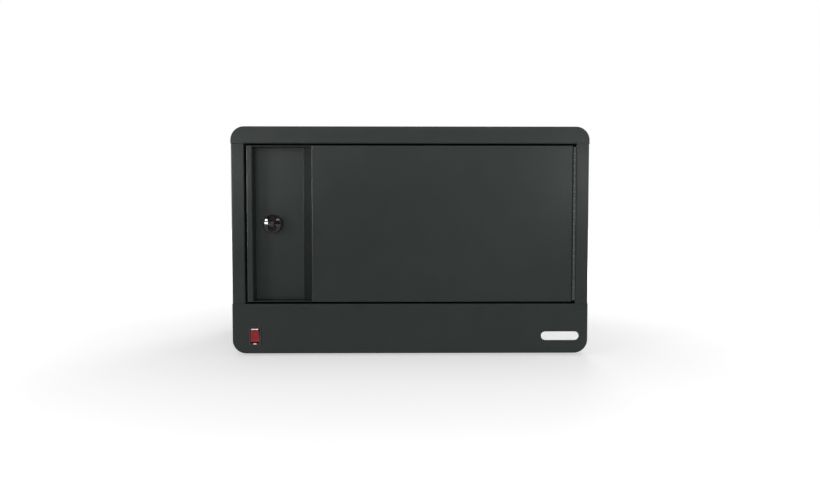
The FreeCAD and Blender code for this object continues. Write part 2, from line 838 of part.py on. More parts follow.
def lock_nut():
    """Hexagon nut that clamps the barrel to the recess floor from inside."""
    corner = nut_across_flats / math.sqrt(3)
    points = [(lock_x + corner * math.cos(i * math.pi / 3), lock_z + corner * math.sin(i * math.pi / 3))
              for i in range(6)]
    y_low = y_recess + sheet
    nut = front_prism(points, [0] * len(points), (y_low, y_low + nut_height))
    return nut.cut(faceted_hole(barrel_radius + turning_clearance, at_lock(y_low - overrun),
                                at_lock(y_low + nut_height + overrun), barrel_sides))


def grip_face(y):
    """Front outline of the knob's grip: a disc with a hollow scooped out of each side."""
    scoop_centre = scoop_floor + scoop_radius
    x = (scoop_centre ** 2 + grip_radius ** 2 - scoop_radius ** 2) / (2 * scoop_centre)
    z = math.sqrt(grip_radius ** 2 - x ** 2)
    ring = [(-x, z), (0, grip_radius), (x, z), (scoop_floor, 0), (x, -z), (0, -grip_radius), (-x, -z),
            (-scoop_floor, 0)]
    points = [Vector(lock_x + across, y, lock_z + up) for across, up in ring]
    arcs = [Part.Arc(points[i], points[i + 1], points[(i + 2) % len(points)]).toShape()
            for i in range(0, len(points), 2)]
    return Part.Face(Part.Wire(arcs))


def lock_knob():
    """Knob with a deep round skirt, a scooped grip, a bore for the key plug and a squared shaft."""
    skirt = rod(knob_radius, at_lock(y_knob_seat), at_lock(y_knob_rim))
    skirt = skirt.makeChamfer(knob_chamfer, edges_at_depth(skirt, y_knob_rim, lambda centre: True))
    grip = grip_face(y_knob).extrude(Vector(0, y_knob_rim - y_knob, 0))
    shaft = rod(shaft_radius, at_lock(y_knob_seat), at_lock(y_barrel_back))
    square = block(span(lock_x, drive_square), (y_barrel_back, y_cam_back), span(lock_z, drive_square))
    key_bore = rod(key_plug_radius + turning_clearance, at_lock(y_knob - overrun),
                   at_lock(y_knob + key_plug_depth + fit_gap))
    screw_bore = faceted_hole(cam_screw_radius, at_lock(y_cam_back - cam_screw_length),
                              at_lock(y_cam_back + overrun))
    return skirt.fuse([grip, shaft, square]).cut([key_bore, screw_bore]).removeSplitter()


def key_plug():
    """Lock cylinder's plug, with a keyway across its face."""
    plug = rod(key_plug_radius, at_lock(y_knob - key_plug_proud), at_lock(y_knob + key_plug_depth))
    keyway = block(span(lock_x, keyway_width), (y_knob - key_plug_proud - overrun, y_knob + keyway_depth),
                   span(lock_z, keyway_height))
    return plug.cut(keyway)


def lock_cam():
    """Flat cam on the shaft's square. It points down while the door is unlocked."""
    points = [(-cam_hub, cam_hub - cam_hub_chamfer), (cam_hub_chamfer - cam_hub, cam_hub),
              (cam_hub - cam_hub_chamfer, cam_hub), (cam_hub, cam_hub - cam_hub_chamfer),
              (cam_tip, -cam_reach), (-cam_tip, -cam_reach)]
    cam = front_prism([(lock_x + across, lock_z + up) for across, up in points],
                      (0, 0, 0, 0, cam_tip_round, cam_tip_round), (y_cam, y_cam_back))
    side = drive_square + 2 * drive_clearance
    return cam.cut(block(span(lock_x, side), (y_cam - overrun, y_cam_back + overrun), span(lock_z, side)))


def cam_screw():
    """Screw that holds the cam on the knob's shaft."""
    return screw(at_lock(y_cam_back), Vector(0, 1, 0), cam_screw_radius, cam_screw_length,
                 cam_screw_head_radius, cam_screw_head)


def latch_strike():
    """Wear plate behind the stop flange, where the cam takes hold."""
    return block((fold_radius - sheet - x_open, stop_width - x_open), (y_strike, y_strike + strike_thickness),
                 span(lock_z, strike_height))


def door_bumpers():
    """Rubber buttons on the stop flange that the door's lip closes against."""
    x = door_left + sheet
    y_face = y_front + lip_flange + fit_gap
    return Part.makeCompound([faceted_bar(bumper_radius, (x, y_stop, z), (x, y_face, z))
                              for z in (door_low + bumper_from_end, door_high - bumper_from_end)])


parts = {
    "top_cover": top_cover(),
    "base_shell": base_shell(),
    "left_side_panel": left_side_panel(),
    "back_panel": back_panel(),
    "back_panel_screws": back_panel_screws(),
    "bay_shelf": bay_shelf(),
    "bay_mats": bay_mats(),
    "cable_partition": cable_partition(),
    "cable_slot_trim": cable_slot_trim(),
    "power_inlet": power_inlet(),
    "inlet_pins": inlet_pins(),
    "inlet_screws": inlet_screws(),
    "switch_housing": switch_housing(),
    "switch_lamp": switch_lamp(),
    "switch_terminals": switch_terminals(),
    "rocker": rocker(),
    "badge_plate": badge_plate(),
    "rubber_feet": rubber_feet(),
    "hinge_frame_leaf": hinge_knuckles(0, x_open),
    "hinge_door_leaf": hinge_knuckles(1, door_right),
    "hinge_pin": rod(hinge_pin_radius, (hinge_x, hinge_y, hinge_low), (hinge_x, hinge_y, hinge_high)),
    "door_panel": door_panel(),
    "door_liner": door_liner(),
    "lock_barrel": lock_barrel(),
    "lock_nut": lock_nut(),
    "lock_knob": lock_knob(),
    "key_plug": key_plug(),
    "lock_cam": lock_cam(),
    "cam_screw": cam_screw(),
    "latch_strike": latch_strike(),
    "door_bumpers": door_bumpers(),
}
parts["right_side_panel"] = mirrored(parts["left_side_panel"])
for name, level in (("lower", lower_strip_level), ("upper", upper_strip_level)):
    parts[name + "_outlet_strip"] = outlet_strip(level)
    parts[name + "_outlets"] = outlet_faces(level)
for number, x in enumerate(divider_places, start=1):
    parts["divider_%02d" % number] = divider(x)

os.makedirs("parts", exist_ok=True)
for name, shape in parts.items():
    shape.exportStep("parts/" + name + ".step")
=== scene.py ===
import json
import math
import bmesh
import bpy
from mathutils import Matrix, Vector


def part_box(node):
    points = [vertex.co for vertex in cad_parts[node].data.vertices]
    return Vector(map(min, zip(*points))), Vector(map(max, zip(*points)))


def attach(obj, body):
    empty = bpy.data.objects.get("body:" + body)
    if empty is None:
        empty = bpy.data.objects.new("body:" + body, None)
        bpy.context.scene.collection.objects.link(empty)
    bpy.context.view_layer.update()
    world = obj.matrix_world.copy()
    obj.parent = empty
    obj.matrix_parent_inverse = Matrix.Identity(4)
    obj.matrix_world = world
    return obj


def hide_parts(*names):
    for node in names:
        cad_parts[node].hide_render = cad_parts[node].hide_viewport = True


# Table-top charging station: a lockable charcoal steel cabinet for tablets.
# Lengths are in millimetres, in the frame of the solid model: +X to the right, +Y to the back
# and +Z up, with the origin under the middle of the case.

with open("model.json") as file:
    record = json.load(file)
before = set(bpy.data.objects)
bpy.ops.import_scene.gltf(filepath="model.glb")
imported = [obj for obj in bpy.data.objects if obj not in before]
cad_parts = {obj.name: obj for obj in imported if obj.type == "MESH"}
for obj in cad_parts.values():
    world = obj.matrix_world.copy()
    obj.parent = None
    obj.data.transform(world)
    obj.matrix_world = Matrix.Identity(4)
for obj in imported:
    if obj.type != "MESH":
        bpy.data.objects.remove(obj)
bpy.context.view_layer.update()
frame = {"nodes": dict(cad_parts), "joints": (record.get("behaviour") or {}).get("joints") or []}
scene = bpy.context.scene
MM = 0.001
smooth_limit = math.radians(32)
flat_limit = math.radians(0.4)
UP = Vector((0, 0, 1))
RIGHT = Vector((1, 0, 0))
BACK = Vector((0, 1, 0))

# Rounding of cut and bent edges
sheet_edge = 0.25
plastic_edge = 0.5
rocker_edge = 0.7
bevel_segments = 2
weld_distance = 0.002

# Part of the noise's range that a finish spreads between its two values
noise_low = 0.3
noise_high = 0.7

# Hinge
knuckle_length = 12.7
knuckle_gap = 0.35
knuckle_sides = 20
knuckle_chamfer = 0.25
leaf_thickness = 1.0

# Collar on the door, whose rim is given as steps of inset and depth
door_sheet = 1.5
collar_dish = 0.6
collar_rim = ((2.4, 0), (1.2, 0.3), (0.4, 1.0), (0, 2.0))

# Knob: a skirt with a rounded rim and a conical face, and a shaft that ends in the cam's seat
lock_sides = 72
knob_gap = 0.3
knob_back_edge = 1.0
knob_rim_round = 2.0
knob_rim_steps = 6
knob_slope = 18.0
knob_cone_end = 5.0
shaft_radius = 5.9
shaft_end_radius = 3.8
shaft_end_length = 4.0

# Grip, whose levels are shares of its rise
grip_rise = 7.7
grip_sunk = 1.0
grip_side_radius = 15.6
grip_half_width = 6.0
grip_scoop_from = 0.25
grip_flare = 2.0
grip_top_round = 1.4
grip_round_from = 0.8
grip_levels = (0.0, 0.12, 0.3, 0.55, 0.8, 0.92, 1.0)

# Key plug, whose rim is given as steps of inset and depth
plug_dish = 0.25
plug_rim = ((1.3, 0.25), (1.1, 0), (0.5, 0), (0, 0.5))
keyway_half_width = 0.8
keyway_half_height = 3.5
keyway_front = 0.1
keyway_back = 1.0

# Screws: head radius and height, then shank radius and length
panel_screw = (4.0, 1.4, 1.9, 8.6)
inlet_screw = (2.8, 1.0, 1.4, 7.8)
cam_screw_head = 3.0
cam_screw_shank = 1.9

# Screw heads: the dome's shares of radius and height, and the cross
head_sides = 28
head_dome = ((1.0, 0.35), (0.93, 0.7), (0.78, 0.92), (0.7, 1.0))
cross_arm = 0.62
cross_width = 0.2
cross_depth = 0.7
cross_depth_share = 0.6

# Rocker, whose lens widens towards its lower end
rocker_reach = 15.1
rocker_middle = 5.4
rocker_rise = 2.2
rocker_curve = 1.4
rocker_facet = 3.6
rocker_steps = 10
rocker_end_steps = 6
rocker_back = 4.0
rocker_back_half = 6.0
rocker_top_half = 7.9
rocker_low_half = 8.8
# White bar on the rocker's top end, a painted highlight, over a dark strip of painted shade
bar_half = 7.2
bar_from = 0.45
shade_strip_lap = 0.1

# White spot on the bezel, a painted highlight
highlight_proud = 0.12
spot_highlight_depth = 0.6
spot_highlight_rise = 1.8
spot_highlight_straight = 2.4
spot_highlight_radius = 0.95
spot_highlight_steps = 8

# Badge
badge_edge = 0.5
badge_dome = 0.96
badge_dome_steps = 7
badge_end_steps = 16
badge_rim = 0.6
rim_bead = 0.2
rim_lap = 0.1

# Feet and bumpers
foot_radius = 14.0
foot_taper = 1.4
foot_round = 1.2
foot_round_from = -80
foot_flange = 0.8
foot_recess_radius = 5.5
foot_recess_depth = 2.2
foot_recess_edge = 0.4
foot_recess_rise = 0.3
foot_sides = 40
bumper_round = 1.2
bumper_round_from = 15
bumper_sides = 28
pad_round_steps = 5

# Photograph's view
camera_from_face = 1300.0
camera_above_aim = 58.0
camera_to_left = 13.0
aim_rise = 1.3
aim_to_left = 0.9
lens_mm = 28.71
sensor_mm = 36.0

# Floor, in metres and strengths
floor_reach = 9.0
floor_colour = (0.82, 0.82, 0.82, 1)
floor_roughness = 0.9
floor_specular = 0.1
fade_start = 0.4
fade_end = 1.7
floor_glow = 0.5

# Soft light, and the dimmer studio that reflections see in front of the case
soft_level = 0.2
studio_front = 0.05
floor_dim_from = -1.0
floor_dim_to = -0.3
world_dim_from = -0.6
world_dim_to = 0.1


def node_box(node):
    """Lowest and highest corner of a solid."""
    low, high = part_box(node)
    return Vector(low) / MM, Vector(high) / MM


def middle(node):
    """Centre of a solid's box."""
    low, high = node_box(node)
    return (low + high) / 2


case_low = node_box("base_shell")[0]
cover_high = node_box("top_cover")[1]
front = case_low.y


class Finish:
    """A procedural material, built up step by step on one surface shader."""

    def __init__(self, name, **settings):
        self.material = bpy.data.materials.new(name)
        self.material.use_nodes = True
        self.tree = self.material.node_tree
        self.shader = self.tree.nodes["Principled BSDF"]
        self.coordinates = self.tree.nodes.new("ShaderNodeTexCoord").outputs["Object"]
        for socket, value in settings.items():
            self.shader.inputs[socket.replace("_", " ")].default_value = value

    def noise(self, size, detail=2.0, stretch=(1, 1, 1)):
        """Noise whose features are about one size across, in millimetres."""
        mapping = self.tree.nodes.new("ShaderNodeMapping")
        mapping.inputs["Scale"].default_value = stretch
        texture = self.tree.nodes.new("ShaderNodeTexNoise")
        texture.inputs["Scale"].default_value = 1 / (size * MM)
        texture.inputs["Detail"].default_value = detail
        self.tree.links.new(self.coordinates, mapping.inputs["Vector"])
        self.tree.links.new(mapping.outputs["Vector"], texture.inputs["Vector"])
        return texture.outputs["Fac"]

    def ribs(self, pitch, direction):
        """Even ribs along one direction."""
        texture = self.tree.nodes.new("ShaderNodeTexWave")
        texture.wave_profile = "SIN"
        texture.bands_direction = direction
        texture.inputs["Scale"].default_value = math.pi / (10 * pitch * MM)
        self.tree.links.new(self.coordinates, texture.inputs["Vector"])
        return texture.outputs["Fac"]

    def between(self, factor, low, high):
        """Factor remapped so that the middle of its range spreads between two values."""
        remap = self.tree.nodes.new("ShaderNodeMapRange")
        remap.inputs["From Min"].default_value = noise_low
        remap.inputs["From Max"].default_value = noise_high
        remap.inputs["To Min"].default_value = low
        remap.inputs["To Max"].default_value = high
        self.tree.links.new(factor, remap.inputs["Value"])
        return remap.outputs["Result"]

    def colours(self, factor, dark, light):
        """Base colour that wanders between two tones."""
        mix = self.tree.nodes.new("ShaderNodeMix")
        mix.data_type = "RGBA"
        mix.inputs["A"].default_value = (*dark, 1)
        mix.inputs["B"].default_value = (*light, 1)
        self.tree.links.new(self.between(factor, 0, 1), mix.inputs["Factor"])
        self.tree.links.new(mix.outputs["Result"], self.shader.inputs["Base Color"])
        return self

    def roughness(self, factor, low, high):
        """Roughness that wanders between two values."""
        self.tree.links.new(self.between(factor, low, high), self.shader.inputs["Roughness"])
        return self

    def bump(self, factor, height):
        """Fine relief of a height in millimetres, on top of any relief before it."""
        bump = self.tree.nodes.new("ShaderNodeBump")
        bump.inputs["Distance"].default_value = height * MM
        before = self.shader.inputs["Normal"].links
        if before:
            self.tree.links.new(before[0].from_socket, bump.inputs["Normal"])
        self.tree.links.new(factor, bump.inputs["Height"])
        self.tree.links.new(bump.outputs["Normal"], self.shader.inputs["Normal"])
        return self


def toned(colour, share):
    """A colour made lighter or darker by a share."""
    return tuple(value * (1 + share) for value in colour)


def powder_coat(name, colour):
    """Baked powder paint: fine grain over a slight orange peel, with a soft sheen."""
    finish = Finish(name, Specular_IOR_Level=0.26)
    mottle = finish.noise(55, 3)
    finish.colours(mottle, toned(colour, -0.05), toned(colour, 0.05))
    finish.roughness(finish.noise(18, 4), 0.33, 0.39)
    finish.bump(finish.noise(2.4, 1), 0.02)
    finish.bump(finish.noise(0.45, 2), 0.018)
    return finish.material


def zinc_plate(name):
    """Bright zinc plating with a brushed grain."""
    finish = Finish(name, Metallic=1.0)
    colour = (0.56, 0.56, 0.53)
    finish.colours(finish.noise(6, 3), toned(colour, -0.12), toned(colour, 0.1))
    finish.roughness(finish.noise(1.5, 3, (1, 1, 8)), 0.26, 0.42)
    finish.bump(finish.noise(0.4, 2, (1, 1, 10)), 0.004)
    return finish.material


def nickelled_brass(name):
    """Blades of brass with a thin nickel plating that shows a little warmth."""
    finish = Finish(name, Metallic=1.0)
    finish.colours(finish.noise(3, 3), (0.62, 0.52, 0.34), (0.74, 0.66, 0.5))
    finish.roughness(finish.noise(0.8, 3, (1, 6, 1)), 0.2, 0.34)
    return finish.material


def hinge_paint(name, colour):
    """Thin paint over rolled steel, rubbed a little along the knuckles."""
    finish = Finish(name, Specular_IOR_Level=0.4)
    finish.colours(finish.noise(9, 4), toned(colour, -0.15), toned(colour, 0.2))
    finish.roughness(finish.noise(3, 3), 0.34, 0.48)
    finish.bump(finish.noise(0.6, 2), 0.01)
    return finish.material


def rubber(name, colour):
    """Matt moulded rubber."""
    finish = Finish(name, Specular_IOR_Level=0.3)
    finish.colours(finish.noise(12, 4), toned(colour, -0.15), toned(colour, 0.2))
    finish.roughness(finish.noise(4, 3), 0.72, 0.86)
    finish.bump(finish.noise(0.5, 3), 0.02)
    return finish


def ribbed_rubber(name, colour, pitch):
    """Matt rubber with shallow ribs across the strip."""
    finish = rubber(name, colour)
    finish.bump(finish.ribs(pitch, "Y"), 0.5)
    return finish.material


def moulded_plastic(name, colour, rough):
    """Moulded plastic with a fine spark-eroded grain."""
    finish = Finish(name, Specular_IOR_Level=0.45)
    finish.colours(finish.noise(25, 3), toned(colour, -0.04), toned(colour, 0.04))
    finish.roughness(finish.noise(5, 3), rough - 0.05, rough + 0.05)
    finish.bump(finish.noise(0.35, 2), 0.008)
    return finish.material


def gloss_black(name):
    """Polished black casting with a clear coat, not quite flat."""
    finish = Finish(name, Specular_IOR_Level=0.45, Coat_Weight=0.25, Coat_Roughness=0.03)
    finish.colours(finish.noise(8, 3), (0.005, 0.0035, 0.0035), (0.009, 0.0062, 0.0065))
    finish.roughness(finish.noise(5, 3), 0.12, 0.2)
    finish.bump(finish.noise(2.2, 2), 0.006)
    return finish.material


def dark_lock_metal(name):
    """Darkened lock plug with turning marks."""
    finish = Finish(name, Metallic=1.0)
    finish.colours(finish.noise(3, 3), (0.045, 0.042, 0.042), (0.075, 0.07, 0.07))
    finish.roughness(finish.noise(1.0, 2), 0.22, 0.36)
    finish.bump(finish.noise(0.3, 2), 0.004)
    return finish.material


def red_lens(name):
    """Translucent red moulding, lit a little from inside and glossy outside."""
    finish = Finish(name, Specular_IOR_Level=0.25, Transmission_Weight=0.15, Subsurface_Weight=0.3,
                    Coat_Weight=0.15, Coat_Roughness=0.04)
    finish.shader.inputs["Subsurface Radius"].default_value = (0.004, 0.0008, 0.0006)
    finish.shader.inputs["Subsurface Scale"].default_value = 1.0
    finish.colours(finish.noise(5, 3), (0.24, 0.007, 0.01), (0.4, 0.014, 0.016))
    finish.roughness(finish.noise(4, 2), 0.12, 0.2)
    finish.bump(finish.noise(1.8, 2), 0.01)
    return finish.material


def badge_gloss(name):
    """Domed clear resin over a plain white backing."""
    finish = Finish(name, Specular_IOR_Level=0.5, Coat_Weight=1.0, Coat_Roughness=0.03)
    finish.colours(finish.noise(14, 3), (0.88, 0.88, 0.88), (0.92, 0.92, 0.92))
    finish.roughness(finish.noise(6, 2), 0.18, 0.26)
    return finish.material


def lamp_glass(name):
    """Thin clear glass of the switch's neon lamp."""
    finish = Finish(name, Transmission_Weight=0.9)
    finish.colours(finish.noise(2, 2), (0.9, 0.5, 0.25), (0.95, 0.6, 0.35))
    finish.roughness(finish.noise(2, 2), 0.05, 0.12)
    return finish.material


charcoal = (0.0195, 0.0243, 0.023)
materials = {
    "powder_coat": powder_coat("charcoal_powder_coat", charcoal),
    "divider_coat": powder_coat("grey_powder_coat", (0.17, 0.18, 0.18)),
    "zinc_plate": zinc_plate("zinc_plating"),
    "hinge_steel": hinge_paint("painted_hinge_steel", (0.045, 0.049, 0.048)),
    "rubber": rubber("moulded_rubber", (0.018, 0.018, 0.018)).material,
    "mat_rubber": ribbed_rubber("ribbed_mat_rubber", (0.03, 0.03, 0.03), 4.0),
    "black_plastic": moulded_plastic("black_moulded_plastic", (0.022, 0.022, 0.023), 0.4),
    "strip_plastic": moulded_plastic("strip_moulded_plastic", (0.035, 0.036, 0.038), 0.46),
    "outlet_plastic": moulded_plastic("ivory_outlet_plastic", (0.56, 0.55, 0.5), 0.36),
    "brass": nickelled_brass("nickelled_brass_blades"),
    "lamp_glass": lamp_glass("neon_lamp_glass"),
    "red_lens": red_lens("red_translucent_lens"),
    "badge_white": badge_gloss("white_domed_badge"),
    "gloss_black": gloss_black("polished_black_casting"),
    "lock_metal": dark_lock_metal("dark_lock_metal"),
}


def bevelled(piece, width):
    """Rounds the sharp edges of a piece, and keeps its flat faces evenly shaded."""
    modifier = piece.modifiers.new("rounded edges", "BEVEL")
    modifier.width = width * MM
    modifier.segments = bevel_segments
    modifier.limit_method = "ANGLE"
    modifier.angle_limit = smooth_limit
    modifier.use_clamp_overlap = True
    shading = piece.modifiers.new("even faces", "WEIGHTED_NORMAL")
    shading.mode = "FACE_AREA"
    shading.weight = 100
    shading.keep_sharp = True


def add_piece(name, mesh, body, finish, stands_for=(), edge=0.0):
    """Object on a body, with its finish and the solids that it stands for."""
    mesh.materials.clear()
    mesh.materials.append(materials[finish])
    mesh.shade_smooth()
    mesh.set_sharp_from_angle(angle=smooth_limit)
    piece = bpy.data.objects.new(name, mesh)
    scene.collection.objects.link(piece)
    if edge:
        bevelled(piece, edge)
    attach(piece, body)
    if stands_for:
        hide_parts(*stands_for)


def mesh_from(bm, name):
    """Mesh in metres from a form that was drawn in millimetres."""
    bmesh.ops.recalc_face_normals(bm, faces=bm.faces)
    bmesh.ops.scale(bm, vec=Vector((MM, MM, MM)), verts=bm.verts)
    mesh = bpy.data.meshes.new(name)
    bm.to_mesh(mesh)
    bm.free()
    return mesh


def refined(node, body, finish, edge):
    """Finer copy of a solid: its flat faces are whole and its edges are rounded."""
    bm = bmesh.new()
    bm.from_mesh(frame["nodes"][node].data)
    bmesh.ops.remove_doubles(bm, verts=bm.verts, dist=weld_distance * MM)
    bmesh.ops.dissolve_limit(bm, angle_limit=flat_limit, verts=bm.verts, edges=bm.edges)
    mesh = bpy.data.meshes.new(node + "_fine")
    bm.to_mesh(mesh)
    bm.free()
    add_piece(node + "_fine", mesh, body, finish, (node,), edge)


def turned(bm, profile, start, along, sides):
    """Turned form: points of radius and height run along an axis from its start."""
    along = along.normalized()
    across = along.orthogonal().normalized()
    turn = Matrix.Rotation(2 * math.pi / sides, 3, along)
    rings = []
    for radius, height in profile:
        spoke = across.copy()
        ring = []
        for _ in range(1 if radius == 0 else sides):
            ring.append(bm.verts.new(start + along * height + spoke * radius))
            spoke = turn @ spoke
        rings.append(ring)
    for ring, following in zip(rings, rings[1:]):
        for i in range(sides):
            corners = [ring[i % len(ring)], ring[(i + 1) % len(ring)],
                       following[(i + 1) % len(following)], following[i % len(following)]]
            bm.faces.new(list(dict.fromkeys(corners)))
    return rings


def prism(bm, outline, depth):
    """Solid between a flat outline and its copy moved by a depth vector."""
    base = bm.faces.new([bm.verts.new(point) for point in outline])
    moved = bmesh.ops.extrude_face_region(bm, geom=[base])
    corners = [v for v in moved["geom"] if isinstance(v, bmesh.types.BMVert)]
    bmesh.ops.translate(bm, vec=depth, verts=corners)


def slab(bm, low, high):
    """Rectangular block between two corners."""
    outline = [Vector((x, y, low.z)) for x, y in
               ((low.x, low.y), (high.x, low.y), (high.x, high.y), (low.x, high.y))]
    prism(bm, outline, Vector((0, 0, high.z - low.z)))


def arc(radius, first, last, steps):
    """Points of an arc about the origin of a plane, with its angles in degrees."""
    angles = [math.radians(first + (last - first) * i / steps) for i in range(steps + 1)]
    return [(radius * math.cos(a), radius * math.sin(a)) for a in angles]


def stadium_outline(straight, radius, steps):
    """Outline with round ends about two points, each half a straight side from the middle."""
    return [(side * straight + u, v) for side, first in ((1, -90), (-1, 90))
            for u, v in arc(radius, first, first + 180, steps)]


def painted_case():
    """Shell, panels, shelf and partition, all in the charcoal coat."""
    for node in ("top_cover", "base_shell", "left_side_panel", "right_side_panel", "back_panel",
                 "bay_shelf", "cable_partition"):
        refined(node, "cabinet", "powder_coat", sheet_edge)
    refined("door_panel", "door", "powder_coat", sheet_edge)
    refined("door_liner", "door", "powder_coat", sheet_edge)


def bay_fittings():
    """Dividers, mats and the edging of the cable slot."""
    for node in sorted(frame["nodes"]):
        if node.startswith("divider_"):
            refined(node, "cabinet", "divider_coat", sheet_edge)
    refined("bay_mats", "cabinet", "mat_rubber", sheet_edge)
    refined("cable_slot_trim", "cabinet", "rubber", sheet_edge)


def electrical_fittings():
    """Outlet strips, mains inlet, terminals and lamp."""
    for level in ("lower", "upper"):
        refined(level + "_outlet_strip", "cabinet", "strip_plastic", plastic_edge)
        refined(level + "_outlets", "cabinet", "outlet_plastic", sheet_edge)
    refined("power_inlet", "cabinet", "black_plastic", sheet_edge)
    refined("inlet_pins", "cabinet", "brass", sheet_edge)
    refined("switch_terminals", "cabinet", "brass", sheet_edge)
    refined("switch_lamp", "cabinet", "lamp_glass", sheet_edge)


def hinge_half(node, body, first, leaf_side):
    """One half of the continuous hinge: its knuckles with their webs, and its leaf."""
    low, high = node_box(node)
    pin_low, pin_high = node_box("hinge_pin")
    pin = middle("hinge_pin")
    radius = pin.y - low.y
    leaf_x = high.x if leaf_side > 0 else low.x
    inner_x = leaf_x - leaf_side * leaf_thickness
    count = int(round((pin_high.z - pin_low.z) / knuckle_length))
    bm = bmesh.new()
    for i in range(first, count, 2):
        start = pin_low.z + i * knuckle_length + knuckle_gap / 2
        length = knuckle_length - knuckle_gap
        profile = [(0, 0), (radius - knuckle_chamfer, 0), (radius, knuckle_chamfer),
                   (radius, length - knuckle_chamfer), (radius - knuckle_chamfer, length), (0, length)]
        turned(bm, profile, Vector((pin.x, pin.y, start)), UP, knuckle_sides)
        slab(bm, Vector((min(leaf_x, pin.x), pin.y + radius - leaf_thickness, start)),
             Vector((max(leaf_x, pin.x), pin.y + radius + knuckle_gap, start + length)))
    slab(bm, Vector((min(leaf_x, inner_x), pin.y + radius, low.z)),
         Vector((max(leaf_x, inner_x), high.y, high.z)))
    add_piece(node + "_fine", mesh_from(bm, node + "_fine"), body, "hinge_steel", stands_for=(node,))


def hinge():
    """Both halves of the hinge, and the finish of its pin."""
    hinge_half("hinge_frame_leaf", "cabinet", 0, 1)
    hinge_half("hinge_door_leaf", "door", 1, -1)
    frame["nodes"]["hinge_pin"].data.materials.clear()
    frame["nodes"]["hinge_pin"].data.materials.append(materials["zinc_plate"])


def lock_collar():
    """Turned collar and barrel on the floor of the recess."""
    low, high = node_box("lock_barrel")
    centre = middle("lock_barrel")
    radius = (high.x - low.x) / 2
    bore = (node_box("cam_screw")[1].x - node_box("cam_screw")[0].x) / 2
    neck = radius / 2
    depth = high.y - low.y
    seat = node_box("lock_nut")[0].y - low.y - door_sheet
    profile = [(bore, collar_dish)] + [(radius - inset, step) for inset, step in collar_rim]
    profile += [(radius, seat), (neck, seat), (neck, depth), (bore, depth), (bore, collar_dish)]
    bm = bmesh.new()
    turned(bm, profile, Vector((centre.x, low.y, centre.z)), BACK, lock_sides)
    bmesh.ops.remove_doubles(bm, verts=bm.verts, dist=weld_distance)
    add_piece("lock_barrel_fine", mesh_from(bm, "lock_barrel_fine"), "door", "gloss_black",
              stands_for=("lock_barrel",))


def grip_ring(height, half_width, radius):
    """Ring of the knob's grip: a disc with a hollow scooped out of each side."""
    ring = []
    for i in range(lock_sides):
        angle = 2 * math.pi * i / lock_sides
        side = abs(math.cos(angle))
        scoop = max(0.0, side - grip_scoop_from) / (1 - grip_scoop_from) * side
        reach = radius - (radius - half_width) * scoop
        ring.append((reach * math.cos(angle), height, reach * math.sin(angle)))
    return ring


def lock_knob():
    """Glossy knob: a deep round skirt with a rounded rim and a conical face, under a grip."""
    low, high = node_box("lock_knob")
    centre = middle("lock_barrel")
    radius = (high.x - low.x) / 2
    skirt_back = node_box("lock_barrel")[0].y - knob_gap
    skirt_front = low.y + grip_rise
    depth = skirt_back - skirt_front
    profile = [(0, 0), (radius - knob_back_edge, 0), (radius, knob_back_edge)]
    profile += [(radius - knob_rim_round + u, depth - knob_rim_round + v)
                for u, v in arc(knob_rim_round, 0, 90 - knob_slope, knob_rim_steps)]
    rim_radius, rim_height = profile[-1]
    cone_height = rim_height + (rim_radius - knob_cone_end) * math.tan(math.radians(knob_slope))
    profile += [(knob_cone_end, cone_height), (0, cone_height)]
    bm = bmesh.new()
    turned(bm, profile, Vector((centre.x, skirt_back, centre.z)), -BACK, lock_sides)
    rings = []
    for share in grip_levels:
        flare = grip_flare * (1 - share) ** 3
        top_round = grip_top_round * max(0.0, (share - grip_round_from) / (1 - grip_round_from)) ** 2
        height = skirt_front + grip_sunk - (grip_rise + grip_sunk) * share
        ring = grip_ring(height, grip_half_width + flare - top_round, grip_side_radius - top_round)
        rings.append([bm.verts.new(Vector(point) + Vector((centre.x, 0, centre.z))) for point in ring])
    for ring, following in zip(rings, rings[1:]):
        for i in range(lock_sides):
            j = (i + 1) % lock_sides
            bm.faces.new((ring[i], ring[j], following[j], following[i]))
    bm.faces.new(rings[0])
    bm.faces.new(rings[-1])
    shaft = node_box("lock_cam")[1].y - skirt_back
    step = shaft - shaft_end_length
    profile = [(0, 0), (shaft_radius, 0), (shaft_radius, step), (shaft_end_radius, step),
               (shaft_end_radius, shaft), (0, shaft)]
    turned(bm, profile, Vector((centre.x, skirt_back, centre.z)), BACK, lock_sides // 2)
    add_piece("lock_knob_fine", mesh_from(bm, "lock_knob_fine"), "knob", "gloss_black",
              stands_for=("lock_knob",))


def key_plug():
    """Face of the lock's plug, with a bevelled rim, and a black block for its keyway as painted shade."""
    low, high = node_box("key_plug")
    centre = middle("key_plug")
    radius = (high.x - low.x) / 2
    length = high.y - low.y
    bm = bmesh.new()
    profile = [(0, plug_dish)] + [(radius - inset, step) for inset, step in plug_rim]
    profile += [(radius, length), (0, length)]
    turned(bm, profile, Vector((centre.x, low.y, centre.z)), BACK, lock_sides // 2)
    add_piece("key_plug_fine", mesh_from(bm, "key_plug_fine"), "key", "lock_metal",
              stands_for=("key_plug",))
    # Black block where the keyway slot is: painted shade in place of the slot's dark inside
    bm = bmesh.new()
    slab(bm, Vector((centre.x - keyway_half_width, low.y + keyway_front, centre.z - keyway_half_height)),
         Vector((centre.x + keyway_half_width, low.y + keyway_back, centre.z + keyway_half_height)))
    add_piece("keyway", mesh_from(bm, "keyway"), "key", "black_plastic")


